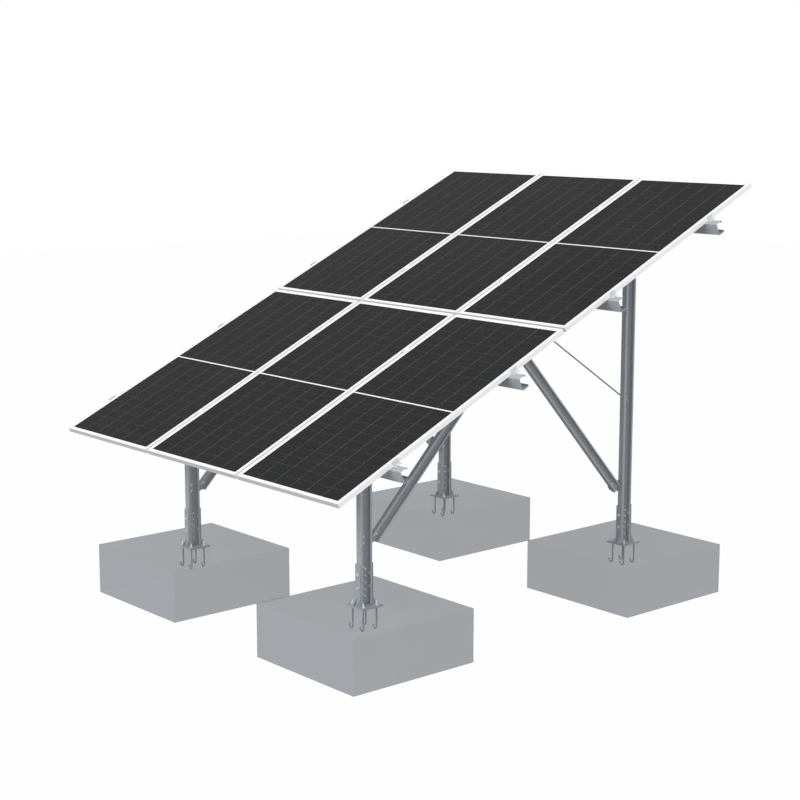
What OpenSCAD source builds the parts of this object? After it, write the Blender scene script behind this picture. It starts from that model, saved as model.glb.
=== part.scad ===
/* [Solar modules] */
// Width of one module, measured across the table
module_w = 1134; // [1040:1:1200]
// Length of one module, measured up the slope
module_l = 2278; // [2100:1:2400]
// Height of the module frame
frame_h = 35; // [30:1:45]
// Gap between neighbouring modules, both ways
module_gap = 20; // [18:1:26]
// Wall thickness of the module frame's extrusion
frame_wall = 1.8; // [1.4:0.1:2.4]
// Width of the frame's lip over the glass
frame_lip = 11; // [9:0.5:14]
// Width of the frame's bottom flange
frame_flange = 30; // [24:1:35]
// Distance between the outer mounting slots in a long frame bar
slots_outer = 1400; // [1200:10:1600]
// Distance between the inner mounting slots in a long frame bar
slots_inner = 800; // [600:10:1000]
// Thickness of the glass, cells and back sheet together
laminate_t = 4.5; // [3.5:0.1:6]

/* [Table] */
// Slope of the table, in degrees
tilt = 25; // [20:0.5:30]
// Height of the table's low edge above the ground
low_edge_h = 1373; // [1300:1:1600]
// From a module's low end to the web of its lower rail
rail_from_low = 470; // [380:1:560]
// From the web of a module's upper rail to its high end
rail_from_high = 612; // [480:1:720]
// Length of rail past the module's edge at either side
rail_overhang = 109; // [70:1:200]

/* [Steel sections] */
// Depth of a rail
rail_h = 95; // [85:1:110]
// Width of a rail's flange
rail_w = 62; // [50:1:65]
// Sheet thickness of a rail
rail_t = 2.5; // [2:0.1:3]
// Depth of a rafter
rafter_h = 100; // [90:1:120]
// Width of a rafter's flange
rafter_w = 50; // [45:1:60]
// Sheet thickness of a rafter
rafter_t = 3; // [2.5:0.1:4]
// Rafter past the outer rails, at either end
rafter_overhang = 85; // [50:1:150]
// Depth of a post, from front to back
post_d = 110; // [100:1:120]
// Width of a post
post_w = 50; // [45:1:60]
// Sheet thickness of a post
post_t = 3; // [2.5:0.1:4]
// Depth of a brace
brace_d = 80; // [70:1:84]
// Width of a brace
brace_w = 40; // [35:1:50]
// Sheet thickness of a brace
brace_t = 2.5; // [2:0.1:3]
// Depth of the return lips on the rails and braces
small_lip = 15; // [12:0.5:18]
// Depth of the return lips on the posts and rafters
large_lip = 20; // [15:0.5:22]

/* [Posts and footings] */
// Distance between the left and right posts
post_pitch_x = 2174; // [1900:1:2400]
// Distance between the front and rear posts
post_pitch_y = 2727; // [2500:1:2850]
// Middle of the posts behind the middle of the table
post_shift_y = 25; // [-40:1:80]
// Side of a square footing
footing_w = 1100; // [900:1:1300]
// Height of a footing
footing_h = 400; // [320:1:450]

/* [Base shoes] */
// Side of the square base plate
plate_w = 190; // [180:1:230]
// Thickness of the base plate
plate_t = 12; // [8:1:20]
// Height of the sleeve that holds the post
sleeve_h = 302; // [290:1:330]
// Sheet thickness of the sleeve and its stiffeners
sleeve_t = 5; // [4:0.5:7]
// Clearance between a post's flange and the sleeve
sleeve_fit = 0.4; // [0.2:0.1:0.8]
// Height of a stiffener on the base plate
stiffener_h = 45; // [30:1:50]
// Reach of a stiffener over the base plate
stiffener_l = 36; // [25:1:38]
// Distance between the anchor bolts, both ways
anchor_pitch = 120; // [112:1:130]
// Diameter of an anchor bolt
anchor_d = 12; // [10:1:14]
// Depth of an anchor bolt's hook below the footing's top
anchor_depth = 172; // [140:1:220]
// Radius of the hook's bend, at the middle of the rod
hook_r = 18; // [15:1:24]

/* [Bolts and brackets] */
// Diameter of the structural bolts
bolt_d = 12; // [10:1:13]
// Distance between bolts in a row, in the shoes and brackets
bolt_pitch = 50; // [46:1:52]
// Clearance of a bolt hole over its bolt, on the diameter
hole_fit = 1; // [0.5:0.1:1.5]
// Sheet thickness of the brace brackets
bracket_t = 6; // [4:0.5:8]
// Brace pin above the footing's top
brace_pin_h = 506; // [490:1:560]
// Front brace pin behind the middle of its post
front_pin_y = 118; // [116:1:130]
// Rear brace pin in front of the middle of its post
rear_pin_y = 136; // [130:1:150]
// Distance between the two brace pins on a rafter
brace_top_pitch = 118; // [112:1:150]
// Middle of those pins below the middle of the table
brace_top_shift = 36; // [20:1:60]
// From a brace's pin to its cut end
brace_end = 40; // [34:1:42]
// From a rear brace's lower pin to its cut end
brace_foot_end = 56; // [40:1:60]
// Sheet thickness of the angle cleats under the rails
cleat_t = 5; // [4:0.5:6]
// Leg length of an angle cleat
cleat_leg = 70; // [64:1:76]

/* [Clamps and tie rods] */
// Length of a module clamp, up the slope
clamp_l = 58; // [40:1:64]
// From a clamp's lower end to its bolt
clamp_lead = 12; // [8:1:16]
// Plate thickness of a module clamp
clamp_t = 4; // [3:0.5:5]
// Clamp bolt behind the rail's web
clamp_offset = 47; // [34:1:48]
// Diameter of a clamp bolt
clamp_bolt_d = 8; // [6:1:8]
// Diameter of a tie rod
tie_d = 12; // [8:1:14]
// Height of a tie rod's low end at its post
tie_low_h = 1592; // [1300:1:1700]
// Height of a tie rod's high end at its post
tie_high_h = 2622; // [2450:1:2640]
// Tie rod in front of or behind the middle of the posts
tie_offset_y = 9; // [8:0.5:14]

/* [Hidden] */
COLUMNS = 3;
ROWS = 2;
LEFT = -1;
RIGHT = 1;
FRONT = -1;
REAR = 1;
OUT = 1;
$fn = 32;

// Bend radius inside a folded steel sheet
fold_r = 3;
// Running gap round the laminate, the corner keys and the nuts' threads
seal_gap = 0.3;
thread_gap = 0.1;

table_w = COLUMNS * module_w + (COLUMNS - 1) * module_gap;
table_l = ROWS * module_l + (ROWS - 1) * module_gap;
y_low = -(table_l * cos(tilt) + frame_h * sin(tilt)) / 2;
rail_l = table_w + 2 * rail_overhang;
rail_top_n = -frame_h;
rafter_top_n = rail_top_n - rail_h;
rafter_mid_n = rafter_top_n - rafter_h / 2;
rafter_bottom_n = rafter_top_n - rafter_h;
rail_v = [for (r = [0:ROWS - 1], high = [0, 1])
    r * (module_l + module_gap) + (high ? module_l - rail_from_high : rail_from_low)];
rafter_low_v = rail_v[0] - rafter_overhang;
rafter_high_v = rail_v[2 * ROWS - 1] + rail_w + rafter_overhang;

// Post tops stop just under the rails
post_top_n = rafter_top_n - 3;
plate_top = footing_h + plate_t;
sleeve_inner = post_d + 2 * sleeve_fit;
sleeve_outer = sleeve_inner + 2 * sleeve_t;
bolt_hole = bolt_d + hole_fit;

// Bolt heights over the footing and lengths past the steel they hold
web_bolt_z = [for (i = [-2:2]) plate_top + sleeve_h / 2 + bolt_d + bolt_pitch * i];
flange_bolt_z = [for (i = [-1, 1]) plate_top + sleeve_h / 2 + 2 * bolt_d + bolt_pitch * i];
bracket_bolt_z = [for (i = [-1, 0]) footing_h + brace_pin_h + bolt_pitch * i];
short_tail = 5;
long_tail = 24;

function post_x(side) = side * post_pitch_x / 2;
function post_y(end) = post_shift_y + end * post_pitch_y / 2;
function web_x(side) = post_x(side) - post_w / 2;
function slope_y(v, n) = y_low + v * cos(tilt) - n * sin(tilt);
function slope_z(v, n) = low_edge_h + v * sin(tilt) + n * cos(tilt);
function plane_z(y, n) = low_edge_h + (y - y_low) * tan(tilt) + n / cos(tilt);
function module_u(column) = (column - (COLUMNS - 1) / 2) * (module_w + module_gap) - module_w / 2;
function module_v(row) = row * (module_l + module_gap);
function seam_u(i) = module_u(i) + module_w + module_gap / 2;

// Places children in the table's own frame: X across, Y up the slope, Z out of the glass
module on_slope() {
    translate([0, y_low, low_edge_h]) rotate([tilt, 0, 0]) children();
}

// Lipped channel of folded sheet, its web on the Y axis and its mouth towards +X
module channel_2d(d, w, lip, t) {
    r = fold_r + t;
    for (side = [-1, 1]) {
        translate([r, side > 0 ? d / 2 - t : -d / 2]) square([w - 2 * r, t]);
        translate([w - t, side > 0 ? d / 2 - lip : r - d / 2]) square([t, lip - r]);
        fold_2d(r, t, side * (d / 2 - r), 180, side);
        translate([w, 0]) mirror([1, 0]) fold_2d(r, t, side * (d / 2 - r), 180, side);
    }
    translate([0, r - d / 2]) square([t, d - 2 * r]);
}

// Quarter ring of a folded corner, on the web side of a channel
module fold_2d(r, t, y, turn, side) {
    translate([r, y]) intersection() {
        difference() {
            circle(r);
            circle(r - t);
        }
        translate([-r, side > 0 ? 0 : -r]) square(r);
    }
}

// Hexagonal prism given its width across flats
module hexagon(flats, h) {
    cylinder(r = flats / sqrt(3), h = h, $fn = 6);
}

// Flanged hexagon bolt along +Z, its bearing face at the origin
module bolt(d, l) {
    cylinder(d = d, h = l);
    translate([0, 0, -0.2 * d]) cylinder(d = 2.1 * d, h = 0.2 * d);
    translate([0, 0, -0.8 * d]) hexagon(1.5 * d, 0.6 * d);
}

// Flanged nut on +Z, its bearing face at the origin
module nut(d) {
    difference() {
        union() {
            cylinder(d = 2.1 * d, h = 0.2 * d);
            translate([0, 0, 0.2 * d]) hexagon(1.5 * d, 0.7 * d);
        }
        translate([0, 0, -1]) cylinder(d = d + 2 * thread_gap, h = d + 2);
    }
}

// Bolt and nut that hold steel of thickness grip
module fastener(d, grip, tail) {
    bolt(d, grip + 0.9 * d + tail);
    translate([0, 0, grip]) nut(d);
}

// Hole for a bolt at the origin, through steel of thickness grip
module bolt_bore(d, grip) {
    translate([0, 0, -1]) cylinder(d = d + hole_fit, h = grip + 2);
}

// Where the bolts go, each with +Z from its head to its nut
module at_sleeve_web(side, end) {
    for (z = web_bolt_z) translate([web_x(side) - sleeve_t, post_y(end), z]) rotate([0, 90, 0]) children();
}

module at_sleeve_flanges(side, end) {
    for (face = [-1, 1], z = flange_bolt_z)
        translate([post_x(side), post_y(end) + face * sleeve_outer / 2, z])
            rotate([face * 90, 0, 0]) children();
}

module at_anchors(side, end, z) {
    for (i = [-1, 1], j = [-1, 1])
        translate([post_x(side) + i * anchor_pitch / 2, post_y(end) + j * anchor_pitch / 2, z]) children();
}

module at_bracket_post(side, end) {
    for (z = bracket_bolt_z)
        translate([web_x(side) - bracket_t, post_y(end), z]) rotate([0, 90, 0]) children();
}

module at_brace_foot(side, end) {
    translate([web_x(side) - bracket_t, foot_y(end), foot_z()]) rotate([0, 90, 0]) children();
}

module at_brace_top(side, end) {
    translate([web_x(side) - rafter_t, top_y(end), top_z(end)]) rotate([0, 90, 0]) children();
}

module at_post_head(side, end) {
    for (i = [-1, 1], j = [-1, 1])
        translate([web_x(side) - rafter_t, post_y(end) + i * 24, head_z(end) + i * 24 * tan(tilt) + j * 24])
            rotate([0, 90, 0]) children();
}

module at_cleat_web(side, v) {
    on_slope() for (n = [30, 58])
        translate([web_x(side) - rafter_w / 2, v - cleat_t, rafter_top_n + n])
            rotate([-90, 0, 0]) children();
}

module at_cleat_foot(side, v) {
    on_slope() translate([web_x(side) - rafter_w / 2, v - cleat_leg / 2 - 4, rafter_top_n + cleat_t])
        rotate([180, 0, 0]) children();
}

function foot_y(end) = post_y(end) - end * (end == FRONT ? front_pin_y : rear_pin_y);
function foot_z() = footing_h + brace_pin_h;
function top_v(end) = table_l / 2 - brace_top_shift + end * brace_top_pitch / 2;
function top_y(end) = slope_y(top_v(end), rafter_mid_n);
function top_z(end) = slope_z(top_v(end), rafter_mid_n);
function head_z(end) = plane_z(post_y(end), rafter_mid_n);

// Hooked rod cast into the footing, its axis at the origin and z = 0 at the footing's top
module anchor_bolt() {
    straight = anchor_depth - hook_r - anchor_d / 2;
    tip = 8;
    translate([0, 0, -straight]) cylinder(d = anchor_d, h = straight + plate_t + 30);
    translate([-hook_r, 0, -straight]) rotate([-90, 0, 0]) rotate_extrude(angle = 180)
        translate([hook_r, 0]) circle(d = anchor_d);
    translate([-2 * hook_r, 0, -straight]) cylinder(d = anchor_d, h = tip);
}

module footing(side, end) {
    color([0.63, 0.64, 0.65]) difference() {
        translate([post_x(side) - footing_w / 2, post_y(end) - footing_w / 2, 0])
            cube([footing_w, footing_w, footing_h]);
        at_anchors(side, end, footing_h) anchor_bolt();
    }
}

module anchor_bolts() {
    color([0.55, 0.56, 0.57])
        for (side = [LEFT, RIGHT], end = [FRONT, REAR]) at_anchors(side, end, footing_h) anchor_bolt();
}

// Washer and nut on each anchor bolt
module anchor_nuts() {
    washer_t = 3;
    color([0.80, 0.81, 0.82])
        for (side = [LEFT, RIGHT], end = [FRONT, REAR]) at_anchors(side, end, plate_top) {
            difference() {
                cylinder(d = 2.3 * anchor_d, h = washer_t);
                translate([0, 0, -1]) cylinder(d = anchor_d + hole_fit, h = washer_t + 2);
            }
            translate([0, 0, washer_t]) difference() {
                hexagon(1.5 * anchor_d, 0.8 * anchor_d);
                translate([0, 0, -1]) cylinder(d = anchor_d + 2 * thread_gap, h = anchor_d + 2);
            }
        }
}

// Triangular web on the base plate, reaching out along +Y from a face at the origin
module stiffener() {
    translate([-sleeve_t / 2, 0, 0]) rotate([90, 0, 90]) linear_extrude(sleeve_t)
        polygon([[0, 0], [stiffener_l, 0], [stiffener_l, 6], [6, stiffener_h], [0, stiffener_h]]);
}

// Base plate, open sleeve and stiffeners, welded into one piece
module base_shoe(side, end) {
    color([0.60, 0.61, 0.62]) difference() {
        translate([web_x(side), post_y(end), footing_h]) {
            translate([post_w / 2 - plate_w / 2, -plate_w / 2, 0]) cube([plate_w, plate_w, plate_t]);
            translate([0, 0, plate_t]) difference() {
                translate([-sleeve_t, -sleeve_outer / 2, 0])
                    cube([post_w + sleeve_t, sleeve_outer, sleeve_h]);
                translate([0, -sleeve_inner / 2, -1]) cube([post_w + 1, sleeve_inner, sleeve_h + 2]);
            }
            for (x = [5, post_w - 5], face = [-1, 1])
                translate([x, face * sleeve_outer / 2, plate_t]) scale([1, face, 1]) stiffener();
            for (y = [-35, 35]) translate([-sleeve_t, y, plate_t]) rotate([0, 0, 90]) stiffener();
        }
        at_anchors(side, end, footing_h) translate([0, 0, -1])
            cylinder(d = anchor_d + 2 * hole_fit, h = plate_t + 2);
        at_sleeve_web(side, end) bolt_bore(bolt_d, sleeve_t);
        at_sleeve_flanges(side, end) bolt_bore(bolt_d, sleeve_t);
    }
}

module shoe_bolts() {
    color([0.80, 0.81, 0.82]) for (side = [LEFT, RIGHT], end = [FRONT, REAR]) {
        at_sleeve_web(side, end) fastener(bolt_d, sleeve_t + post_t, long_tail);
        at_sleeve_flanges(side, end) fastener(bolt_d, sleeve_t + sleeve_fit + post_t, short_tail);
    }
}

// Channel post with its mouth to the right, cut off along the slope beside the rafter
module post(side, end) {
    tall = plane_z(post_y(end) + post_d, post_top_n) - plate_top;
    color([0.62, 0.64, 0.66]) difference() {
        translate([web_x(side), post_y(end), plate_top]) linear_extrude(tall)
            channel_2d(post_d, post_w, large_lip, post_t);
        on_slope() translate([-table_w, -table_l, post_top_n]) cube([2 * table_w, 3 * table_l, table_l]);
        at_sleeve_web(side, end) bolt_bore(bolt_d, sleeve_t + post_t);
        at_sleeve_flanges(side, end) bolt_bore(bolt_d, sleeve_t + sleeve_fit + post_t);
        at_bracket_post(side, end) bolt_bore(bolt_d, bracket_t + post_t);
        at_post_head(side, end) bolt_bore(bolt_d, rafter_t + post_t);
        if (end == REAR) for (rod = [LEFT, RIGHT]) at_tie(rod, side) tie_bore();
    }
}

// Plate behind the webs of post and brace, with a rib that bears on the post's flange
module brace_bracket(side, end) {
    pin = abs(foot_y(end) - post_y(end));
    low = bracket_bolt_z[0] - footing_h - brace_pin_h - 25;
    edge = 34;
    top = 15;
    rib_w = 34;
    rib_h = 60;
    color([0.55, 0.56, 0.57]) difference() {
        translate([web_x(side), post_y(end), foot_z()]) scale([1, -end, 1]) {
            translate([-bracket_t, 0, 0]) rotate([90, 0, 90]) linear_extrude(bracket_t)
                polygon([[-30, low], [post_d / 2, low], [pin + 8, -edge - 20], [pin + edge, -26],
                         [pin + edge, 8], [pin + 24, top], [-18, top], [-30, top - 12]]);
            translate([0, post_d / 2, low]) cube([rib_w, bracket_t - 1, rib_h]);
        }
        at_bracket_post(side, end) bolt_bore(bolt_d, bracket_t);
        at_brace_foot(side, end) bolt_bore(bolt_d, bracket_t);
    }
}

// Channel brace from the bracket on its post to the side of the rafter
module brace(side, end) {
    rise = top_z(end) - foot_z();
    run = top_y(end) - foot_y(end);
    foot = end == REAR ? brace_foot_end : brace_end;
    color([0.60, 0.61, 0.62]) difference() {
        translate([web_x(side), foot_y(end), foot_z()]) rotate([atan2(rise, run) - 90, 0, 0])
            translate([0, 0, -foot]) linear_extrude(foot + norm([rise, run]) + brace_end)
                channel_2d(brace_d, brace_w, small_lip, brace_t);
        at_brace_foot(side, end) bolt_bore(bolt_d, bracket_t + brace_t);
        at_brace_top(side, end) bolt_bore(bolt_d, rafter_t + brace_t);
    }
}

// Channel beam up the slope, back to back with the posts and braces
module rafter(side) {
    color([0.60, 0.61, 0.62]) difference() {
        on_slope() translate([web_x(side), rafter_low_v, rafter_mid_n]) rotate([90, 0, 180])
            linear_extrude(rafter_high_v - rafter_low_v)
                channel_2d(rafter_h, rafter_w, large_lip, rafter_t);
        for (end = [FRONT, REAR]) {
            at_post_head(side, end) bolt_bore(bolt_d, rafter_t);
            at_brace_top(side, end) bolt_bore(bolt_d, rafter_t);
        }
        for (v = rail_v) at_cleat_foot(side, v) bolt_bore(bolt_d, cleat_t + rafter_t);
    }
}

// Bolts of the braces, their brackets and the post heads
module frame_bolts() {
    color([0.80, 0.81, 0.82]) for (side = [LEFT, RIGHT], end = [FRONT, REAR]) {
        at_bracket_post(side, end) fastener(bolt_d, bracket_t + post_t, short_tail);
        at_brace_foot(side, end) fastener(bolt_d, bracket_t + brace_t, short_tail);
        at_brace_top(side, end) fastener(bolt_d, rafter_t + brace_t, short_tail);
        at_post_head(side, end) fastener(bolt_d, rafter_t + post_t, short_tail);
    }
}

// Channel rail across the table, web down the slope and mouth up the slope
module rail(i) {
    color([0.66, 0.67, 0.68]) difference() {
        on_slope() translate([-rail_l / 2, rail_v[i], rail_top_n - rail_h / 2]) rotate([90, 0, 90])
            linear_extrude(rail_l) channel_2d(rail_h, rail_w, small_lip, rail_t);
        for (side = [LEFT, RIGHT]) at_cleat_web(side, rail_v[i]) bolt_bore(bolt_d, cleat_t + rail_t);
        at_end_clamps(rail_v[i]) translate([0, 0, clamp_t]) bolt_bore(clamp_bolt_d, rail_t);
        at_mid_clamps(rail_v[i]) translate([0, 0, clamp_t + frame_h]) bolt_bore(clamp_bolt_d, rail_t);
    }
}

// Angle cleats that hold the rails on the rafters
module rail_cleats() {
    cleat_w = 44;
    color([0.60, 0.61, 0.62]) for (side = [LEFT, RIGHT], v = rail_v) difference() {
        on_slope() translate([web_x(side) - rafter_w / 2 - cleat_w / 2, v, rafter_top_n]) {
            translate([0, -cleat_leg, 0]) cube([cleat_w, cleat_leg, cleat_t]);
            translate([0, -cleat_t, 0]) cube([cleat_w, cleat_t, cleat_leg + cleat_t]);
        }
        at_cleat_web(side, v) bolt_bore(bolt_d, cleat_t);
        at_cleat_foot(side, v) bolt_bore(bolt_d, cleat_t);
    }
}

module cleat_bolts() {
    color([0.80, 0.81, 0.82]) for (side = [LEFT, RIGHT], v = rail_v) {
        at_cleat_web(side, v) fastener(bolt_d, cleat_t + rail_t, short_tail);
        at_cleat_foot(side, v) fastener(bolt_d, cleat_t + rafter_t, short_tail);
    }
}

// Where the clamp bolts go, with +Z down into the rail
module at_end_clamps(v) {
    on_slope() for (side = [LEFT, RIGHT])
        translate([side * (table_w / 2 + end_bolt_u), v + clamp_offset, clamp_t - frame_h])
            rotate([180, 0, 0]) children();
}

module at_mid_clamps(v) {
    on_slope() for (i = [0:COLUMNS - 2])
        translate([seam_u(i), v + clamp_offset, clamp_t]) rotate([180, 0, 0]) children();
}

// End clamp's bolt outside the module's edge, and the reach of its foot
end_bolt_u = 18;
end_foot = 30;
clamp_grip = 9;

// Z-shaped clamps over the table's two side edges
module end_clamps() {
    color([0.85, 0.85, 0.86]) for (v = rail_v) difference() {
        on_slope() for (side = [LEFT, RIGHT])
            translate([side * table_w / 2, v + clamp_offset - clamp_lead, 0]) scale([side, 1, 1]) {
                translate([-clamp_grip, 0, 0]) cube([clamp_grip + clamp_t, clamp_l, clamp_t]);
                translate([0, 0, -frame_h]) cube([clamp_t, clamp_l, frame_h + clamp_t]);
                translate([0, 0, -frame_h]) cube([end_foot, clamp_l, clamp_t]);
            }
        at_end_clamps(v) bolt_bore(clamp_bolt_d, clamp_t);
    }
}

// Plates over the seams between modules, with two legs down into the gap
module mid_clamps() {
    leg_t = 2.5;
    leg_h = 12;
    color([0.85, 0.85, 0.86]) for (v = rail_v) difference() {
        on_slope() for (i = [0:COLUMNS - 2]) translate([seam_u(i), v + clamp_offset - clamp_lead, 0]) {
            translate([-module_gap / 2 - clamp_grip, 0, 0])
                cube([module_gap + 2 * clamp_grip, clamp_l, clamp_t]);
            for (x = [-module_gap / 2 + 1, module_gap / 2 - 1 - leg_t])
                translate([x, 0, -leg_h]) cube([leg_t, clamp_l, leg_h + clamp_t]);
        }
        at_mid_clamps(v) bolt_bore(clamp_bolt_d, clamp_t);
    }
}

module clamp_bolts() {
    color([0.72, 0.73, 0.74]) for (v = rail_v) {
        at_end_clamps(v) fastener(clamp_bolt_d, clamp_t + rail_t, short_tail);
        at_mid_clamps(v) fastener(clamp_bolt_d, clamp_t + frame_h + rail_t, short_tail);
    }
}

// Section of the frame's extrusion: X inwards from the outer face, Y up to the lip
module frame_2d() {
    shelf_top = -frame_wall - laminate_t - 2 * seal_gap;
    chamber = frame_lip + frame_wall;
    translate([0, -frame_h]) square([frame_wall, frame_h]);
    translate([0, -frame_wall]) square([frame_lip, frame_wall]);
    translate([0, shelf_top - frame_wall]) square([chamber, frame_wall]);
    translate([frame_lip, -frame_h]) square([frame_wall, frame_h + shelf_top]);
    translate([0, -frame_h]) square([frame_flange, frame_wall]);
}

// One bar of a module's frame along +X, mitred at both ends, with slots in the long ones
module frame_bar(l) {
    slot_l = 14;
    slot_w = 9;
    slot_a = frame_lip + frame_wall + 8;
    mitre_gap = 0.1;
    flat = l - 2 * mitre_gap;
    difference() {
        intersection() {
            rotate([90, 0, 90]) linear_extrude(l) frame_2d();
            translate([mitre_gap, 0, -frame_h - 1]) linear_extrude(frame_h + 2)
                polygon([[0, 0], [flat, 0], [flat - frame_flange, frame_flange],
                         [frame_flange, frame_flange]]);
        }
        if (l == module_l) for (x = [-slots_outer, -slots_inner, slots_inner, slots_outer])
            translate([l / 2 + x / 2, slot_a, -frame_h - 1]) {
                for (i = [-1, 1]) translate([i * (slot_l - slot_w) / 2, 0, 0])
                    cylinder(d = slot_w, h = frame_wall + 2);
                translate([-(slot_l - slot_w) / 2, -slot_w / 2, 0])
                    cube([slot_l - slot_w, slot_w, frame_wall + 2]);
            }
    }
}

module at_module(column, row) {
    on_slope() translate([module_u(column), module_v(row), 0]) children();
}

module module_frame(column, row) {
    color([0.90, 0.90, 0.91]) at_module(column, row) {
        frame_bar(module_w);
        translate([module_w, 0, 0]) rotate([0, 0, 90]) frame_bar(module_l);
        translate([module_w, module_l, 0]) rotate([0, 0, 180]) frame_bar(module_w);
        translate([0, module_l, 0]) rotate([0, 0, 270]) frame_bar(module_l);
    }
}

// Glass, cells and back sheet bonded into one plate, held in the frame's groove
module laminate(column, row) {
    edge = frame_wall + 1.2;
    color([0.14, 0.14, 0.15]) at_module(column, row)
        translate([edge, edge, -frame_wall - seal_gap - laminate_t])
            cube([module_w - 2 * edge, module_l - 2 * edge, laminate_t]);
}

// Angle pieces pressed into the frames' hollow chambers at the corners
module corner_keys() {
    thick = frame_lip - frame_wall - 2 * seal_gap;
    arm = 38;
    low = frame_wall + seal_gap - frame_h;
    high = -2 * frame_wall - laminate_t - 3 * seal_gap;
    color([0.70, 0.71, 0.72]) for (column = [0:COLUMNS - 1], row = [0:ROWS - 1]) at_module(column, row)
        for (i = [0, 1], j = [0, 1])
            translate([i * module_w, j * module_l, low]) scale([i ? -1 : 1, j ? -1 : 1, 1])
                translate([frame_wall + seal_gap, frame_wall + seal_gap, 0]) {
                    cube([arm, thick, high - low]);
                    cube([thick, arm, high - low]);
                }
}

// Connection boxes bonded under the modules' middle, with glands on the outer two
module junction_boxes() {
    box_w = 78;
    box_l = 46;
    box_h = 17;
    gland_d = 11;
    top = -frame_wall - seal_gap - laminate_t;
    color([0.10, 0.10, 0.11]) for (column = [0:COLUMNS - 1], row = [0:ROWS - 1], i = [-1, 0, 1])
        at_module(column, row) translate([module_w / 2 + i * module_w / 3, module_l / 2, top]) {
            translate([-box_w / 2, -box_l / 2, -box_h + 4]) cube([box_w, box_l, box_h - 4]);
            translate([4 - box_w / 2, 4 - box_l / 2, -box_h]) cube([box_w - 8, box_l - 8, 4]);
            if (i != 0) translate([i * box_w / 2, 0, -box_h / 2]) rotate([0, i * 90, 0])
                cylinder(d = gland_d, h = 14);
        }
}

tie_drop = tie_high_h - tie_low_h;
tie_span = norm([post_pitch_x, tie_drop]);
tie_angle = atan2(tie_drop, post_pitch_x);
tie_end = 60;

// Start of a tie rod at a rear post's web, with +Z along the rod to the right;
// the rod named LEFT has its high end at the left post
module at_tie(rod, side) {
    translate([web_x(side), post_y(REAR) + rod * tie_offset_y, rod == side ? tie_high_h : tie_low_h])
        rotate([0, 90 - (rod == LEFT ? -tie_angle : tie_angle), 0]) children();
}

module tie_bore() {
    translate([0, 0, -20]) cylinder(d = tie_d + 4, h = 40);
}

module tie_rod(rod) {
    color([0.62, 0.63, 0.65]) at_tie(rod, LEFT) translate([0, 0, -tie_end])
        cylinder(d = tie_d, h = tie_span + 2 * tie_end);
}

// Wedge washer on a web and nut, at both ends of each tie rod
module tie_nuts() {
    washer_d = 2.6 * tie_d;
    stand_off = washer_d * tan(tie_angle) / 2 + 3;
    block = 3 * washer_d;
    color([0.80, 0.81, 0.82]) for (rod = [LEFT, RIGHT], side = [LEFT, RIGHT]) {
        difference() {
            at_tie(rod, side) translate([0, 0, side > 0 ? 0 : -stand_off - post_t]) difference() {
                translate([0, 0, side > 0 ? -post_t : 0])
                    cylinder(d = washer_d, h = stand_off + 2 * post_t);
                translate([0, 0, -block]) cylinder(d = tie_d + 2 * thread_gap, h = 2 * block);
            }
            translate([web_x(side), post_y(REAR) - block / 2, tie_low_h - block])
                translate([side > 0 ? post_t - block : 0, 0, 0]) cube([block, block, tie_drop + 2 * block]);
        }
        at_tie(rod, side) rotate([side > 0 ? 0 : 180, 0, 0]) translate([0, 0, stand_off + post_t])
            difference() {
                hexagon(1.7 * tie_d, 0.8 * tie_d);
                translate([0, 0, -1]) cylinder(d = tie_d + 2 * thread_gap, h = tie_d + 2);
            }
    }
}

footing(LEFT, FRONT);  // footing_front_left
footing(RIGHT, FRONT);  // footing_front_right
footing(LEFT, REAR);  // footing_rear_left
footing(RIGHT, REAR);  // footing_rear_right
base_shoe(LEFT, FRONT);  // base_shoe_front_left
base_shoe(RIGHT, FRONT);  // base_shoe_front_right
base_shoe(LEFT, REAR);  // base_shoe_rear_left
base_shoe(RIGHT, REAR);  // base_shoe_rear_right
post(LEFT, FRONT);  // post_front_left
post(RIGHT, FRONT);  // post_front_right
post(LEFT, REAR);  // post_rear_left
post(RIGHT, REAR);  // post_rear_right
brace_bracket(LEFT, FRONT);  // brace_bracket_front_left
brace_bracket(RIGHT, FRONT);  // brace_bracket_front_right
brace_bracket(LEFT, REAR);  // brace_bracket_rear_left
brace_bracket(RIGHT, REAR);  // brace_bracket_rear_right
brace(LEFT, FRONT);  // brace_front_left
brace(RIGHT, FRONT);  // brace_front_right
brace(LEFT, REAR);  // brace_rear_left
brace(RIGHT, REAR);  // brace_rear_right
rafter(LEFT);  // rafter_left
rafter(RIGHT);  // rafter_right
rail(0);  // rail_1
rail(1);  // rail_2
rail(2);  // rail_3
rail(3);  // rail_4
module_frame(0, 0);  // module_frame_1
module_frame(1, 0);  // module_frame_2
module_frame(2, 0);  // module_frame_3
module_frame(0, 1);  // module_frame_4
module_frame(1, 1);  // module_frame_5
module_frame(2, 1);  // module_frame_6
laminate(0, 0);  // laminate_1
laminate(1, 0);  // laminate_2
laminate(2, 0);  // laminate_3
laminate(0, 1);  // laminate_4
laminate(1, 1);  // laminate_5
laminate(2, 1);  // laminate_6
tie_rod(LEFT);  // tie_rod_left
tie_rod(RIGHT);  // tie_rod_right
anchor_bolts();
anchor_nuts();
shoe_bolts();
frame_bolts();
rail_cleats();
cleat_bolts();
end_clamps();
mid_clamps();
clamp_bolts();
corner_keys();
junction_boxes();
tie_nuts();
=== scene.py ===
# %% [markdown]
# # A ground mount for six solar modules
# The solids of this object come from a CAD model that is already exact: footings, posts, braces,
# rafters, rails and six framed modules. This lesson dresses them. We set up the camera and the light,
# write each finish as a small formula over the object's own coordinates, and grow the two details that
# repeat hundreds of times, weld ripples and screw threads, with Geometry Nodes.

# %% Load the frame
import math

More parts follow.
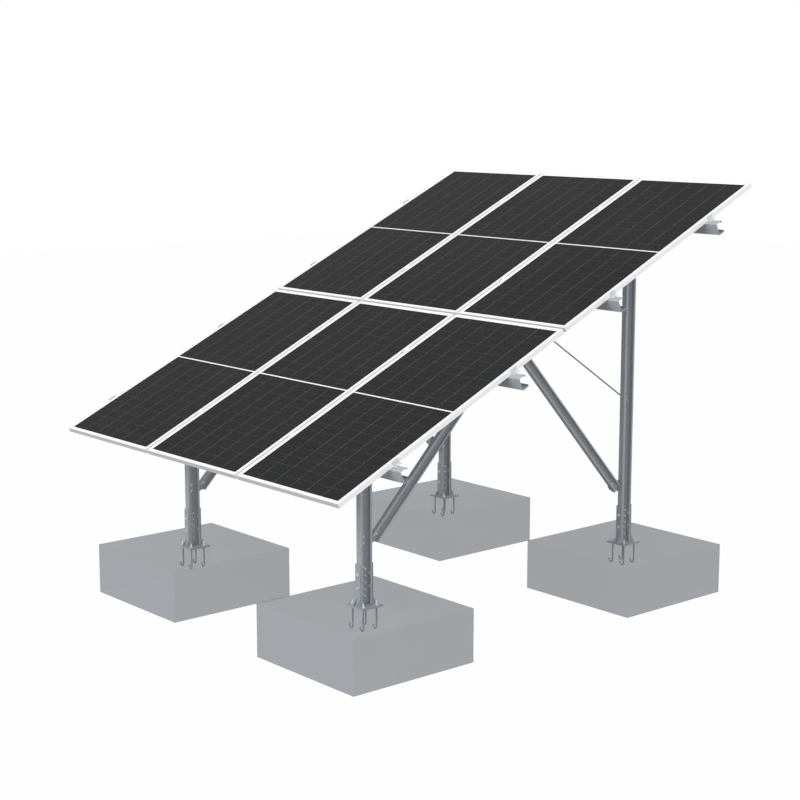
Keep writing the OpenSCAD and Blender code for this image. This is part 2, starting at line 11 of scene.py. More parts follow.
import bmesh
import bpy
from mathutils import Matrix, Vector


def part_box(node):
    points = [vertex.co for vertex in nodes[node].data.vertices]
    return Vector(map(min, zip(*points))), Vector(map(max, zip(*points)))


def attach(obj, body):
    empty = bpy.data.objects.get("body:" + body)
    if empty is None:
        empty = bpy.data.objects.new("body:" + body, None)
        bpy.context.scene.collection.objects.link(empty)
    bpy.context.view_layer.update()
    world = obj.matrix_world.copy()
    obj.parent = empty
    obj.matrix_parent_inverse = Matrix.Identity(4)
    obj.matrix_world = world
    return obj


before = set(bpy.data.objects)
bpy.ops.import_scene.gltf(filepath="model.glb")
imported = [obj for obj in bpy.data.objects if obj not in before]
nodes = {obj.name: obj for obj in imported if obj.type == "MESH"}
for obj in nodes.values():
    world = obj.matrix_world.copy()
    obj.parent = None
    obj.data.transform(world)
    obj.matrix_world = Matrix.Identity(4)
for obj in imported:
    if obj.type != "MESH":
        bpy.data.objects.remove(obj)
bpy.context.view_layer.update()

# %% [markdown]
# ## The camera
# A product picture is mostly decided by where the camera stands. This one looks from the front right,
# ten degrees above level, through a long lens, which keeps the upright posts nearly parallel. The place
# was found by matching the corners of the table and of the footings to the photograph, so it is written
# here as a place, a target and a focal length, and not as three angles that nobody could check.

# %% Place the camera
CAMERA_PLACE = Vector((10.179, -8.794, 3.958))
CAMERA_TARGET = Vector((0.0251, -0.0969, 1.6046))
FOCAL_MM = 77.04

camera_data = bpy.data.cameras.new("camera")
camera_data.lens = FOCAL_MM
camera = bpy.data.objects.new("camera", camera_data)
camera.location = CAMERA_PLACE
camera.rotation_euler = (CAMERA_TARGET - CAMERA_PLACE).to_track_quat("-Z", "Y").to_euler()
bpy.context.scene.collection.objects.link(camera)
bpy.context.scene.camera = camera
print("camera distance:", round((CAMERA_TARGET - CAMERA_PLACE).length, 2), "m")

# %% [markdown]
# ## Node trees from Python
# Every finish below is a formula, such as "light grey, but darker where the noise is high". Wiring that
# by hand means dozens of nearly equal lines. Two small classes avoid it. Socket wraps an output and
# overloads the arithmetic operators, so `1 - mask * 0.3` adds the Math nodes by itself. Tree makes any
# other node in one call: its type, its settings, then the values or links of its sockets.

# %% Helper classes for node trees
class Socket:
    """An output of a node tree that can be used in a Python expression."""

    def __init__(self, tree, out):
        self.tree = tree
        self.out = out

    def math(self, operation, *others):
        values = dict(enumerate((self,) + others))
        return self.tree.node("ShaderNodeMath", {"operation": operation}, values)

    def reflected(self, operation, first):
        """The node of an expression that starts with a number, such as 1 - mask."""
        return self.tree.node("ShaderNodeMath", {"operation": operation}, {0: first, 1: self})

    def __add__(self, other):
        return self.math("ADD", other)

    __radd__ = __add__

    def __mul__(self, other):
        return self.math("MULTIPLY", other)

    __rmul__ = __mul__

    def __sub__(self, other):
        return self.math("SUBTRACT", other)

    def __rsub__(self, other):
        return self.reflected("SUBTRACT", other)

    def __truediv__(self, other):
        return self.math("DIVIDE", other)

    def __rtruediv__(self, other):
        return self.reflected("DIVIDE", other)

    def __mod__(self, other):
        return self.math("FLOORED_MODULO", other)

    def __rmod__(self, other):
        return self.reflected("FLOORED_MODULO", other)

    def __abs__(self):
        return self.math("ABSOLUTE")

    def below(self, limit):
        return self.math("LESS_THAN", limit)

    def above(self, limit):
        return self.math("GREATER_THAN", limit)

    def most(self, other):
        return self.math("MAXIMUM", other)


class Tree:
    """A node tree with one method that makes any node."""

    def __init__(self, tree):
        self.tree = tree
        self.tree.nodes.clear()

    def plug(self, socket, value):
        if isinstance(value, Socket):
            self.tree.links.new(value.out, socket)
        elif socket.type == "RGBA":
            socket.default_value = tuple(value) + (1.0,)
        else:
            socket.default_value = value

    def node(self, kind, settings=None, inputs=None, output=0):
        """Add a node, set it, fill or link its sockets, and return one of its outputs."""
        made = self.tree.nodes.new(kind)
        for name, value in (settings or {}).items():
            setattr(made, name, value)
        for key, value in (inputs or {}).items():
            self.plug(made.inputs[key], value)
        return Socket(self, made.outputs[output]) if made.outputs else made

    def mix(self, factor, first, second):
        """Blend of two colours, each a colour or a socket."""
        inputs = {0: factor, 6: first, 7: second}
        return self.node("ShaderNodeMix", {"data_type": "RGBA"}, inputs, output=2)

    def place(self):
        """Object coordinates: here they are metres in the frame of the whole mount."""
        return self.node("ShaderNodeTexCoord", output="Object")

    def stretch(self, vector, scale):
        """A vector with each axis scaled by its own number."""
        return self.node("ShaderNodeMapping", inputs={"Vector": vector, "Scale": scale})

    def noise(self, scale, detail=2.0, vector=None):
        inputs = {"Vector": vector or self.place(), "Scale": scale, "Detail": detail}
        return self.node("ShaderNodeTexNoise", inputs=inputs)

    def crystals(self, scale, output):
        """Random cells, read as the colour of each or as the distance to its middle."""
        inputs = {"Vector": self.place(), "Scale": scale}
        return self.node("ShaderNodeTexVoronoi", inputs=inputs, output=output)

    def bump(self, height, distance, strength):
        inputs = {"Height": height, "Distance": distance, "Strength": strength}
        return self.node("ShaderNodeBump", inputs=inputs)


def linear(level):
    """Linear value of a display level from 0 to 255."""
    return (level / 255.0) ** 2.2


def grey(level, warmth=0.0):
    """A grey from its display level, a little blue where warmth is below 0."""
    value = linear(level)
    return (value * (1 + warmth), value, value * (1 - warmth))


def new_finish(name, shade):
    """A material whose Principled inputs come from shade, a function of its tree."""
    material = bpy.data.materials.new(name)
    material.use_nodes = True
    tree = Tree(material.node_tree)
    shader = tree.node("ShaderNodeBsdfPrincipled", inputs=shade(tree))
    tree.node("ShaderNodeOutputMaterial", inputs={"Surface": shader})
    print("finish", name, "has", len(material.node_tree.nodes), "nodes")
    return material


# %% [markdown]
# ## Light and ground
# The object is pale steel and dark glass on a white page, lit from everywhere. A white world does most
# of the work, one sun with a very wide disc lights the table and what faces the front, and a weak fill
# from the camera's side reaches into the channels, without shadows of its own. Making the page white
# with more light would wash out the steel. Instead the world and the floor ask Light Path who is
# looking: the camera, and reflections, see plain white, while the surfaces are lit by a calmer level.
# The floor keeps part of its own shading, so that the footings still cast a faint shadow.

# %% World, sun and floor
WORLD_LEVEL = 0.76
SUN = {"strength": 1.75, "height": 32.0, "side": -95.0, "disc": 44.0, "shadow": True}
FILL = {"strength": 0.8, "height": 22.0, "side": -24.0, "disc": 20.0, "shadow": False}
FLOOR_WHITE = 0.985
FLOOR_GREY = 0.3
FLOOR_SIZE = 60.0
FLOOR_DROP = 0.001


def seen_directly(tree):
    """1 for camera, mirror and glass rays, and 0 for the rays that carry light to surfaces."""
    camera_ray = tree.node("ShaderNodeLightPath", output="Is Camera Ray")
    glossy_ray = tree.node("ShaderNodeLightPath", output="Is Glossy Ray")
    glass_ray = tree.node("ShaderNodeLightPath", output="Is Transmission Ray")
    return camera_ray.most(glossy_ray).most(glass_ray)


def make_world():
    world = bpy.data.worlds.new("white_studio")
    world.use_nodes = True
    tree = Tree(world.node_tree)
    strength = seen_directly(tree) * (1.0 - WORLD_LEVEL) + WORLD_LEVEL
    light = tree.node("ShaderNodeBackground", inputs={"Color": (1.0, 1.0, 1.0), "Strength": strength})
    tree.node("ShaderNodeOutputWorld", inputs={"Surface": light})
    bpy.context.scene.world = world


def make_sun(name, strength, height, side, disc, shadow):
    """A sun from its height over the horizon and its angle round the object, both in degrees."""
    data = bpy.data.lights.new(name, "SUN")
    data.energy = strength
    data.angle = math.radians(disc)
    data.use_shadow = shadow
    sun = bpy.data.objects.new(name, data)
    up = math.radians(height)
    turn = math.radians(side)
    towards = Vector((math.cos(up) * math.cos(turn), math.cos(up) * math.sin(turn), math.sin(up)))
    sun.rotation_euler = (-towards).to_track_quat("-Z", "Y").to_euler()
    bpy.context.scene.collection.objects.link(sun)


def make_floor():
    mesh = bpy.data.meshes.new("floor")
    half = FLOOR_SIZE / 2
    corners = [(-half, -half), (half, -half), (half, half), (-half, half)]
    mesh.from_pydata([(x, y, -FLOOR_DROP) for x, y in corners], [], [(0, 1, 2, 3)])
    floor = bpy.data.objects.new("floor", mesh)
    bpy.context.scene.collection.objects.link(floor)
    material = bpy.data.materials.new("floor_white")
    material.use_nodes = True
    tree = Tree(material.node_tree)
    matt = tree.node("ShaderNodeBsdfDiffuse", inputs={"Color": (FLOOR_GREY,) * 3})
    white = tree.node("ShaderNodeEmission", inputs={"Color": (1.0, 1.0, 1.0), "Strength": 1.0})
    share = seen_directly(tree) * FLOOR_WHITE
    shader = tree.node("ShaderNodeMixShader", inputs={0: share, 1: matt, 2: white})
    tree.node("ShaderNodeOutputMaterial", inputs={"Surface": shader})
    mesh.materials.append(material)


make_world()
make_sun("soft_sun", **SUN)
make_sun("fill", **FILL)
make_floor()
bpy.context.scene.view_settings.view_transform = "Standard"
print("world level:", WORLD_LEVEL, "suns:", SUN["strength"], "and", FILL["strength"])

# %% [markdown]
# ## Galvanised sheet
# Rails, posts and braces are folded from zinc-coated sheet. Up close the zinc shows crystals a few
# millimetres wide, each a slightly different grey, under a thin dull bloom. A Voronoi texture gives each
# crystal its own value, and a slow noise adds the bloom. Both only shift the grey by a few percent,
# because from a few metres away such sheet looks plain.

# %% Zinc-coated steel
ZINC_LEVEL = 163
ZINC_SPREAD = 8
ZINC_CRYSTAL = 0.009


def zinc_finish(name, level, roughness):
    def shade(tree):
        crystal = tree.crystals(1.0 / ZINC_CRYSTAL, "Color")
        tone = tree.node("ShaderNodeSeparateColor", inputs={0: crystal}, output="Red")
        bloom = tree.noise(3.0, 5.0)
        share = tone * 0.45 + bloom * 0.55
        dark = grey(level - ZINC_SPREAD, -0.08)
        pale = grey(level + ZINC_SPREAD, -0.07)
        return {
            "Base Color": tree.mix(share, dark, pale),
            "Metallic": 0.12,
            "Roughness": tone * 0.12 + bloom * 0.10 + roughness,
            "Normal": tree.bump(tone, 0.00004, 0.6),
        }

    return new_finish(name, shade)


zinc_sheet = zinc_finish("zinc_sheet", ZINC_LEVEL, 0.42)
zinc_plate = zinc_finish("zinc_plate", ZINC_LEVEL - 6, 0.48)

# %% [markdown]
# ## Bolts and anchor rods
# Bolts are zinc plated and brighter than the sheet, and the anchor rods are plain drawn steel with fine
# scratches along them. The scratches are a noise whose spots a Mapping node stretches along Z into long
# streaks. A big scale makes small spots, so the scale is small only along Z.

# %% Plated bolts and drawn rod
ROD_STREAKS = (900.0, 900.0, 30.0)


def plated_shade(tree):
    patches = tree.noise(180.0, 3.0)
    return {
        "Base Color": tree.mix(patches, grey(196), grey(222)),
        "Metallic": 0.55,
        "Roughness": patches * 0.16 + 0.26,
        "Normal": tree.bump(patches, 0.00003, 0.5),
    }


def rod_shade(tree):
    streaks = tree.noise(1.0, vector=tree.stretch(tree.place(), ROD_STREAKS))
    return {
        "Base Color": tree.mix(streaks, grey(204, -0.02), grey(224, -0.02)),
        "Metallic": 0.3,
        "Roughness": streaks * 0.15 + 0.38,
        "Normal": tree.bump(streaks, 0.00004, 0.5),
    }


plated_bolts = new_finish("plated_bolts", plated_shade)
drawn_rod = new_finish("drawn_rod", rod_shade)

# %% [markdown]
# ## Footings
# The picture draws the concrete see-through, to show how the anchor bolts hook under it. Real glass
# would bend the view, so the concrete stays a matt shader and only its Alpha is lowered: light and sight
# pass straight on. Fine air holes and cloudy patches keep it concrete.

# %% See-through concrete
CONCRETE_ALPHA = 0.44
HOLE_SCALE = 46.0
HOLE_REACH = 0.11


def concrete_shade(tree):
    clouds = tree.noise(2.2, 6.0)
    grains = tree.noise(260.0, 3.0)
    holes = tree.crystals(HOLE_SCALE, "Distance").below(HOLE_REACH)
    tone = clouds * 0.7 + grains * 0.3 - holes * 0.25
    return {
        "Base Color": tree.mix(tone, grey(84, -0.30), grey(104, -0.28)),
        "Roughness": grains * 0.1 + 0.82,
        "Specular IOR Level": 0.25,
        "Alpha": CONCRETE_ALPHA,
        "Normal": tree.bump(grains * 0.4 - holes, 0.0006, 0.5),
    }


see_through_concrete = new_finish("see_through_concrete", concrete_shade)

# %% [markdown]
# ## Places on the table
# Frames and cells both need to know where a point lies on the sloping table. A Mapping node turns
# Object coordinates until X runs across the table, Y up its slope and Z out of the glass. The place of
# the table's lower left corner is then taken off. It comes from the box of the first module's frame.

# %% Table coordinates
TILT = math.radians(25.0)
MODULE_W = 1.134
MODULE_L = 2.278
MODULE_GAP = 0.020
COLUMNS = 3
ROWS = 2

table_low, table_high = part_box("module_frame_1")
table_left = table_low.x
table_y = table_low.y
table_z = table_high.z - MODULE_L * math.sin(TILT)
print("lower left corner of the table:", [round(c, 3) for c in (table_left, table_y, table_z)])


def along_slope(tree, scale):
    """Object coordinates turned so that Y runs up the table, then scaled."""
    inputs = {"Vector": tree.place(), "Rotation": (-TILT, 0.0, 0.0)}
    return tree.stretch(tree.node("ShaderNodeMapping", inputs=inputs), scale)


def on_table(tree):
    """Distances across the table, up its slope and out of its glass, from the lower left corner."""
    turned = along_slope(tree, (1.0, 1.0, 1.0))
    inputs = {0: turned}
    across, up, out = [tree.node("ShaderNodeSeparateXYZ", inputs=inputs, output=axis) for axis in "XYZ"]
    low_edge = table_y * math.cos(TILT) + table_z * math.sin(TILT)
    glass = table_z * math.cos(TILT) - table_y * math.sin(TILT)
    return across - table_left, up - low_edge, out - glass


def nearest_line(coordinate, pitch):
    """Distance from a coordinate to the nearest multiple of pitch."""
    return abs((coordinate + pitch / 2) % pitch - pitch / 2)


# %% [markdown]
# ## Module frames
# The frames and clamps are drawn aluminium with a pale anodised skin, nearly white in daylight. The die
# leaves faint lines along each bar. Bars run two ways, so the lines are made from two stretched noises,
# one along X and one up the slope. The faces that look at the sky are painted a little greyer, a painted
# shade that holds back the strong sun on them. A painted shade darkens the low edge and the narrow gaps
# between the modules, where less light reaches. A modulo by the modules' pitch finds those gaps. The
# clamps are cut from plain extrusions, so they are a little greyer than the frames.

# %% Anodised aluminium
FRAME_LEVELS = (248, 255)
CLAMP_LEVELS = (204, 220)
GAP_REACH = 0.0115
EDGE_REACH = 0.001
SIDE_DEPTH = 0.001
TOP_DEPTH = 0.0004
# The next four numbers paint shade: how strongly the column gaps, the row gaps and the low edge are
# darkened, and to which grey.
COLUMN_SHADE = 0.35
ROW_SHADE = 0.7
LOW_EDGE_SHADE = 0.95
SHADE_LEVEL = 182
# The faces that look at the sky get this greyer colour, a painted shade against the strong sun on them.
TOP_SHADE_LEVEL = 221
LINES_UP = (700.0, 4.0, 700.0)
LINES_ACROSS = (4.0, 700.0, 700.0)


def gap_mask(coordinate, length, count):
    """1 in the gaps between modules along one direction, 0 on the modules and at the ends."""
    pitch = length + MODULE_GAP
    in_gap = nearest_line(coordinate + MODULE_GAP / 2, pitch).below(GAP_REACH)
    return in_gap * coordinate.above(length / 2) * coordinate.below(pitch * count - length / 2)


def anodised_finish(name, levels):
    def shade(tree):
        lines_up = tree.noise(1.0, vector=along_slope(tree, LINES_UP))
        lines_across = tree.noise(1.0, vector=along_slope(tree, LINES_ACROSS))
        lines = lines_up * 0.5 + lines_across * 0.5
        across, up, out = on_table(tree)
        column_gap_shade = gap_mask(across, MODULE_W, COLUMNS) * COLUMN_SHADE
        row_gap_shade = gap_mask(up, MODULE_L, ROWS) * ROW_SHADE
        # Painted shade: the gaps between the modules and the low edge are darkened towards a grey.
        painted_shade = column_gap_shade.most(row_gap_shade).most(up.below(EDGE_REACH) * LOW_EDGE_SHADE)
        dark, pale = [grey(level, -0.01) for level in levels]
        clean = tree.mix(lines, dark, pale)
        gap_shaded = tree.mix(painted_shade * out.below(-SIDE_DEPTH), clean, grey(SHADE_LEVEL))
        return {
            # Painted shade: the faces that look at the sky are greyed.
            "Base Color": tree.mix(out.above(-TOP_DEPTH), gap_shaded, grey(TOP_SHADE_LEVEL)),
            "Metallic": 0.12,
            "Roughness": lines * 0.14 + 0.34,
            "Normal": tree.bump(lines, 0.00003, 0.4),
        }

    return new_finish(name, shade)


pale_anodised = anodised_finish("pale_anodised", FRAME_LEVELS)
grey_anodised = anodised_finish("grey_anodised", CLAMP_LEVELS)

# %% [markdown]
# ## The cells under the glass
# A module is a grid: six columns of half cells, eleven rows in each half, with a white stripe between
# the halves and a white margin around. Drawing 792 cells as geometry would cost much and show little.
# The grid is a formula over the table's coordinates instead. A modulo by the module's pitch folds all
# six modules onto one, and one more modulo folds each cell onto one cell. Distances to the nearest gap
# then draw the lines. Behind the glass, where Z is lower, the laminate is the plain white back sheet.

# %% Sizes of the grid
MARGIN_SIDE = 0.0330
MARGIN_END = 0.0315
STRIPE = 0.0125
CELL_COLUMNS = 6
CELL_ROWS = 11
COLUMN_GAP_HALF = 0.0009
ROW_GAP_HALF = 0.0006
WIRE_COUNT = 10
WIRE_HALF = 0.0003
GLASS_DEPTH = 0.005

cell_w = (MODULE_W - 2 * MARGIN_SIDE) / CELL_COLUMNS
cell_l = (MODULE_L - 2 * MARGIN_END - STRIPE) / 2 / CELL_ROWS
print("cell pitch in mm:", round(cell_w * 1000, 1), "x", round(cell_l * 1000, 1))


# %% Cells, wires and white back sheet
SILICON_LEVELS = (40, 47)
WIRE_LEVEL = 120
ROW_GAP_LEVEL = 110
COLUMN_GAP_LEVEL = 116
BACK_SHEET_LEVEL = 225


def solar_shade(tree):
    across, up, out = on_table(tree)
    u = across % (MODULE_W + MODULE_GAP) - MARGIN_SIDE
    v = abs(up % (MODULE_L + MODULE_GAP) - MODULE_L / 2) - STRIPE / 2
    in_width = u.above(0.0) * u.below(CELL_COLUMNS * cell_w)
    in_length = v.above(0.0) * v.below(CELL_ROWS * cell_l)
    in_grid = in_width * in_length * out.above(-GLASS_DEPTH)
    column_gap = nearest_line(u, cell_w).below(COLUMN_GAP_HALF)
    row_gap = nearest_line(v, cell_l).below(ROW_GAP_HALF)
    wire_pitch = cell_w / WIRE_COUNT
    wires = nearest_line(u + wire_pitch / 2, wire_pitch).below(WIRE_HALF)
    cloud = tree.noise(1.7, 3.0)
    dark, pale = [grey(level, -0.02) for level in SILICON_LEVELS]
    silicon = tree.mix(cloud, dark, pale)
    wired = tree.mix(wires * 0.35, silicon, grey(WIRE_LEVEL))
    rows = tree.mix(row_gap * 0.55, wired, grey(ROW_GAP_LEVEL))
    cells = tree.mix(column_gap * 0.9, rows, grey(COLUMN_GAP_LEVEL))
    return {
        "Base Color": tree.mix(in_grid, grey(BACK_SHEET_LEVEL), cells),
        "Roughness": cloud * 0.06 + 0.22,
        "Specular IOR Level": 0.006,
    }


solar_glass = new_finish("solar_glass", solar_shade)

# %% [markdown]
# ## Black mouldings
# The connection boxes under the modules are moulded in black plastic with a fine spark-eroded grain.

# %% Moulded plastic
def moulded_shade(tree):
    grain = tree.noise(900.0)
    return {
        "Base Color": tree.mix(grain, grey(34), grey(44)),
        "Roughness": grain * 0.15 + 0.5,
        "Normal": tree.bump(grain, 0.00008, 0.5),
    }


moulded_black = new_finish("moulded_black", moulded_shade)

# %% [markdown]
# ## Hand out the finishes
# Each CAD node already has one material slot. A table from the start of a node's name to its finish
# fills them all, and the loop stops with an error if a node was forgotten.

# %% Finishes by node name
FINISHES = {
    "footing": see_through_concrete,
    "base_shoe": zinc_plate,
    "post": zinc_sheet,
    "brace": zinc_sheet,
    "rafter": zinc_sheet,
    "rail_cleats": zinc_plate,
    "rail_": zinc_sheet,
    "module_frame": pale_anodised,
    "laminate": solar_glass,
    "tie_rod": zinc_plate,
    "anchor_bolts": drawn_rod,
    "anchor_nuts": plated_bolts,
    "shoe_bolts": plated_bolts,
    "frame_bolts": plated_bolts,
    "cleat_bolts": plated_bolts,
    "end_clamps": grey_anodised,
    "mid_clamps": grey_anodised,
    "clamp_bolts": plated_bolts,
    "corner_keys": pale_anodised,
    "junction_boxes": moulded_black,
    "tie_nuts": plated_bolts,
}


def finish_of(name):
    starts = [start for start in FINISHES if name.startswith(start)]
    return FINISHES[max(starts, key=len)]


for name, node in nodes.items():
    for slot in node.material_slots:
        slot.material = finish_of(name)
print("dressed", len(nodes), "nodes")

# %% [markdown]
# ## Geometry Nodes from Python
# A weld is a row of small overlapping ripples along a path, and a thread is a ridge wound round a rod.
# Both are rules, so a node tree makes them and we only supply paths and points. The helper below builds
# a geometry tree with named inputs, and grow() runs it on a plain mesh of points or edges and keeps the
# result as an ordinary mesh. The tree ends in Realize Instances and Set Material, because a file for
# other programs can't hold instances.

# %% Helpers for geometry trees
def geometry_tree(name, sizes):
    """A tree whose inputs are a geometry, the named sizes and a material."""
    group = bpy.data.node_groups.new(name, "GeometryNodeTree")
    group.interface.new_socket("Geometry", in_out="INPUT", socket_type="NodeSocketGeometry")
    for size_name in sizes:
        group.interface.new_socket(size_name, in_out="INPUT", socket_type="NodeSocketFloat")
    group.interface.new_socket("Finish", in_out="INPUT", socket_type="NodeSocketMaterial")
    group.interface.new_socket("Geometry", in_out="OUTPUT", socket_type="NodeSocketGeometry")
    tree = Tree(group)
    names = ["Geometry", *sizes, "Finish"]
    sockets = {given: tree.node("NodeGroupInput", output=given) for given in names}
    return group, tree, sockets


def close_tree(tree, instances, finish):
    real = tree.node("GeometryNodeRealizeInstances", inputs={"Geometry": instances})
    painted = tree.node("GeometryNodeSetMaterial", inputs={"Geometry": real, "Material": finish})
    tree.node("NodeGroupOutput", inputs={"Geometry": painted})


def grow(name, mesh, group, values):
    """Run a geometry tree on a mesh and keep the result as a plain piece of the object."""
    seed = bpy.data.objects.new(name + "_seed", mesh)
    bpy.context.scene.collection.objects.link(seed)
    modifier = seed.modifiers.new("grow", "NODES")
    modifier.node_group = group
    for item in group.interface.items_tree:
        if item.item_type == "SOCKET" and item.in_out == "INPUT" and item.name in values:
            modifier[item.identifier] = values[item.name]
    evaluated = seed.evaluated_get(bpy.context.evaluated_depsgraph_get())
    result = bpy.data.meshes.new_from_object(evaluated)
    bpy.data.objects.remove(seed)
    piece = bpy.data.objects.new(name, result)
    bpy.context.scene.collection.objects.link(piece)
    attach(piece, "root")
    print("grew", name, "with", len(result.polygons), "faces")


# %% [markdown]
# ## Welds on the base shoes
# Each shoe is a plate with an open sleeve and six stiffeners, joined by fillet welds. The paths follow
# the inner corners: round the sleeve's foot, and down and out along both sides of each stiffener. The
# tree resamples the paths at the ripple's pitch and puts a small squashed sphere on every point, turned
# along the path, so that each overlaps the one before, as a welder's puddle does.

# %% Weld tree
RIPPLE_PITCH = 0.0026
RIPPLE_RADIUS = 0.0034
RIPPLE_SQUASH = (1.0, 1.0, 0.62)


def weld_tree():
    group, tree, given = geometry_tree("weld_ripples", ["Pitch", "Radius"])
    curve = tree.node("GeometryNodeMeshToCurve", inputs={"Mesh": given["Geometry"]})
    settings = {"mode": "LENGTH"}
    even = tree.node("GeometryNodeResampleCurve", settings, {"Curve": curve, "Length": given["Pitch"]})
    inputs = {"Segments": 8, "Rings": 5, "Radius": given["Radius"]}
    ball = tree.node("GeometryNodeMeshUVSphere", inputs=inputs)
    along = tree.node("GeometryNodeInputTangent")
    turn = tree.node("FunctionNodeAlignRotationToVector", {"axis": "Z"}, {"Vector": along})
    inputs = {"Points": even, "Instance": ball, "Rotation": turn, "Scale": RIPPLE_SQUASH}
    ripples = tree.node("GeometryNodeInstanceOnPoints", inputs=inputs)
    close_tree(tree, ripples, given["Finish"])
    return group


# %% Weld paths
PLATE_T = 0.012
POST_W = 0.050
SLEEVE_T = 0.005
SLEEVE_HALF = 0.0604
STIFFENER_L = 0.036
STIFFENER_H = 0.045
STIFFENER_FROM_EDGE = 0.005
STIFFENER_FROM_MIDDLE = 0.035
WELD_INSET = 0.0006
WELD_STOP = 0.003


def stiffener_paths(foot, side, outward):
    """Two welds of one stiffener: out along the plate and up along the sleeve, on both its sides."""
    paths = []
    for sign in (-1, 1):
        corner = foot + side * (sign * (SLEEVE_T / 2 + WELD_INSET)) + outward * WELD_INSET
        out_end = corner + outward * (STIFFENER_L - WELD_STOP)
        up_end = corner + Vector((0, 0, STIFFENER_H - WELD_STOP))
        paths.append([up_end, corner, out_end])
    return paths


def shoe_paths(node_name):
    low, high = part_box(node_name)
    centre = Vector(((low.x + high.x) / 2, (low.y + high.y) / 2, low.z + PLATE_T + WELD_INSET))
    edge = POST_W / 2
    web = -edge - SLEEVE_T
    ring = [(edge, -SLEEVE_HALF), (web, -SLEEVE_HALF), (web, SLEEVE_HALF), (edge, SLEEVE_HALF)]
    paths = [[centre + Vector((x, y, 0)) for x, y in ring]]
    for x in (STIFFENER_FROM_EDGE - edge, edge - STIFFENER_FROM_EDGE):
        for face in (-1, 1):
            foot = centre + Vector((x, face * SLEEVE_HALF, 0))
            paths += stiffener_paths(foot, Vector((1, 0, 0)), Vector((0, face, 0)))
    for y in (-STIFFENER_FROM_MIDDLE, STIFFENER_FROM_MIDDLE):
        foot = centre + Vector((web, y, 0))
        paths += stiffener_paths(foot, Vector((0, 1, 0)), Vector((-1, 0, 0)))
    return paths


def path_mesh(paths):
    points = []
    edges = []
    for path in paths:
        edges += [(len(points) + i, len(points) + i + 1) for i in range(len(path) - 1)]
        points += path
    mesh = bpy.data.meshes.new("weld_paths")
    mesh.from_pydata(points, edges, [])
    return mesh


shoe_names = [name for name in nodes if name.startswith("base_shoe")]
all_paths = [path for name in shoe_names for path in shoe_paths(name)]
values = {"Pitch": RIPPLE_PITCH, "Radius": RIPPLE_RADIUS, "Finish": zinc_plate}
grow("shoe_welds", path_mesh(all_paths), weld_tree(), values)

# %% [markdown]
# ## Threads on the bolts' free ends
# The CAD bolts have plain shanks. A thread shows only where a shank stands out of its nut, and there it
# is a ridge on a helix. To find those ends we split each bolt node into its loose solids, look along the
# direction in which that group was driven, and take the end that is as wide as the shank: the head is
# wider, and the lowest point of an anchor's hook is narrower. The tree then puts one wound ridge on each
# end, turned along the bolt.

# %% Find the free ends
SLOPE_UP = Vector((0.0, math.cos(TILT), math.sin(TILT)))
SLOPE_OUT = Vector((0.0, -math.sin(TILT), math.cos(TILT)))
ACROSS = Vector((1.0, 0.0, 0.0))
LEVEL = Vector((0.0, 1.0, 0.0))
UPRIGHT = Vector((0.0, 0.0, 1.0))
MERGE_DISTANCE = 1e-5
FACE_DEPTH = 1e-4
NARROWEST = 0.6
WIDEST = 1.05


def loose_solids(node):
    """Corner points of each separate solid in a node, from a merged copy of its mesh."""
    work = bmesh.new()
    work.from_mesh(node.data)
    bmesh.ops.remove_doubles(work, verts=work.verts, dist=MERGE_DISTANCE)
    left = set(work.verts)
    solids = []
    for start in work.verts:
        if start not in left:
            continue
        left.remove(start)
        front = [start]
        points = []
        while front:
            corner = front.pop()
            points.append(corner.co.copy())
            near = [edge.other_vert(corner) for edge in corner.link_edges]
            fresh = [other for other in near if other in left]
            left.difference_update(fresh)
            front += fresh
        solids.append(points)
    work.free()
    return solids


def end_of(points, axis, sign):
    """Centre and radius of a solid's end face along an axis."""
    reach = max(sign * p.dot(axis) for p in points)
    ring = [p for p in points if sign * p.dot(axis) > reach - FACE_DEPTH]
    lows = Vector([min(p[i] for p in ring) for i in range(3)])
    highs = Vector([max(p[i] for p in ring) for i in range(3)])
    centre = (lows + highs) / 2
    return centre, max((p - centre).length for p in ring)


def free_ends(node_name, directions, radius, shortest):
    """End point and outward direction of every bolt in a node that is longer than a nut."""
    ends = []
    for points in loose_solids(nodes[node_name]):
        spans = [max(p.dot(d) for p in points) - min(p.dot(d) for p in points) for d in directions]
        axis = directions[spans.index(max(spans))]
        if max(spans) < shortest:
            continue
        for sign in (-1, 1):
            centre, size = end_of(points, axis, sign)
            if radius * NARROWEST < size < radius * WIDEST:
                ends.append((centre, axis * sign))
    return ends


def ends_along(ends, axis):
    """Those of the ends that point along an axis, either way."""
    return [(centre, out) for centre, out in ends if abs(out.dot(axis)) > 0.5]


# %% Thread tree
def thread_tree():
    group, tree, given = geometry_tree("wound_thread", ["Radius", "Pitch", "Length", "Ridge"])
    turns = given["Length"] / given["Pitch"]
    inputs = {"Resolution": 14, "Rotations": turns, "Start Radius": given["Radius"],
              "End Radius": given["Radius"], "Height": given["Length"]}
    helix = tree.node("GeometryNodeCurveSpiral", inputs=inputs)
    inputs = {"Resolution": 4, "Radius": given["Ridge"]}
    section = tree.node("GeometryNodeCurvePrimitiveCircle", {"mode": "RADIUS"}, inputs)
    inputs = {"Curve": helix, "Profile Curve": section, "Fill Caps": True}
    ridge = tree.node("GeometryNodeCurveToMesh", inputs=inputs)
    settings = {"data_type": "FLOAT_VECTOR"}
    inward = tree.node("GeometryNodeInputNamedAttribute", settings, {"Name": "inward"})
    turn = tree.node("FunctionNodeAlignRotationToVector", {"axis": "Z"}, {"Vector": inward})
    inputs = {"Points": given["Geometry"], "Instance": ridge, "Rotation": turn}
    threads = tree.node("GeometryNodeInstanceOnPoints", inputs=inputs)
    close_tree(tree, threads, given["Finish"])
    return group


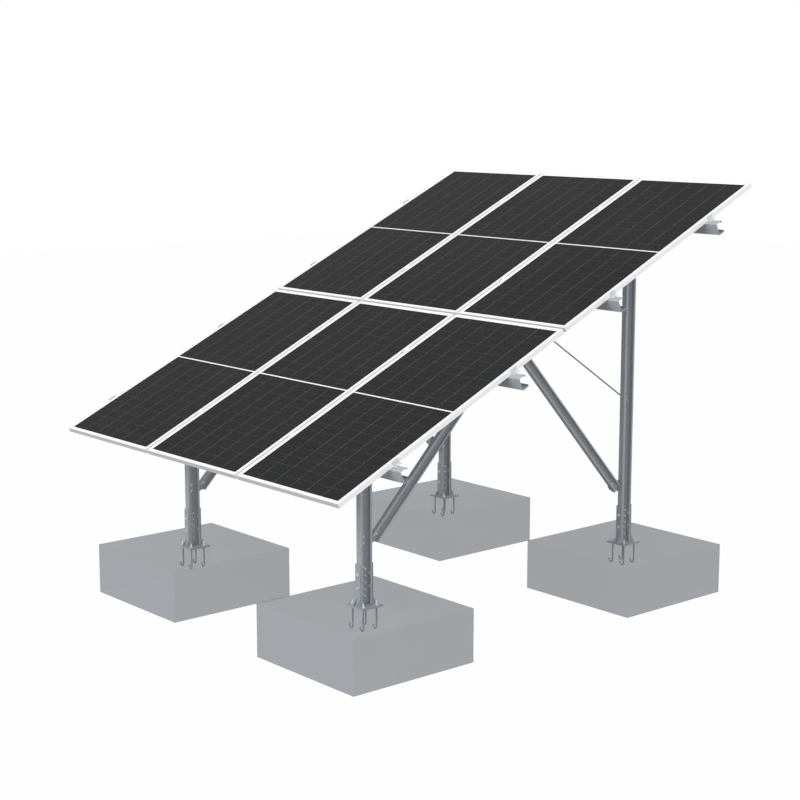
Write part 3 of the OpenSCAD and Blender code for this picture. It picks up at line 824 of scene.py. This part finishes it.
def end_points(ends):
    """A mesh with one point for each free end, which also stores the way back into the bolt."""
    mesh = bpy.data.meshes.new("bolt_ends")
    mesh.from_pydata([centre for centre, out in ends], [], [])
    inward = mesh.attributes.new("inward", "FLOAT_VECTOR", "POINT")
    for i, (centre, out) in enumerate(ends):
        inward.data[i].vector = -out
    return mesh


# %% Grow the threads
M12 = 0.006
M8 = 0.004
ANCHOR_THREAD = 0.0165
LONG_THREAD = 0.023
SHORT_THREAD = 0.0045
TIE_THREAD = 0.035
PITCH_SHARE = 0.29
RIDGE_SHARE = 0.07

tie_low, tie_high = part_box("tie_rod_left")
rise = math.atan2(tie_high.z - tie_low.z, tie_high.x - tie_low.x)
tie_down = Vector((math.cos(rise), 0.0, -math.sin(rise)))
tie_up = Vector((math.cos(rise), 0.0, math.sin(rise)))
shoe_ends = free_ends("shoe_bolts", [ACROSS, LEVEL], M12, shortest=0.026)
cleat_ends = free_ends("cleat_bolts", [SLOPE_UP, SLOPE_OUT], M12, shortest=0.026)
ends_by_kind = {
    "anchor": (free_ends("anchor_bolts", [UPRIGHT], M12, shortest=0.1), M12, ANCHOR_THREAD),
    "long": (ends_along(shoe_ends, ACROSS), M12, LONG_THREAD),
    "short": (ends_along(shoe_ends, LEVEL), M12, SHORT_THREAD),
    "frame": (free_ends("frame_bolts", [ACROSS], M12, shortest=0.02), M12, SHORT_THREAD),
    "cleat": (cleat_ends, M12, SHORT_THREAD),
    "clamp": (free_ends("clamp_bolts", [SLOPE_OUT], M8, shortest=0.015), M8, SHORT_THREAD),
    "tie_down": (free_ends("tie_rod_left", [tie_down], M12, shortest=1.0), M12, TIE_THREAD),
    "tie_up": (free_ends("tie_rod_right", [tie_up], M12, shortest=1.0), M12, TIE_THREAD),
}
wound = thread_tree()
for kind, (ends, radius, length) in ends_by_kind.items():
    print(kind, "ends:", len(ends))
    measures = {"Radius": radius, "Pitch": radius * PITCH_SHARE, "Ridge": radius * RIDGE_SHARE}
    values = measures | {"Length": length, "Finish": plated_bolts}
    grow("thread_" + kind, end_points(ends), wound, values)
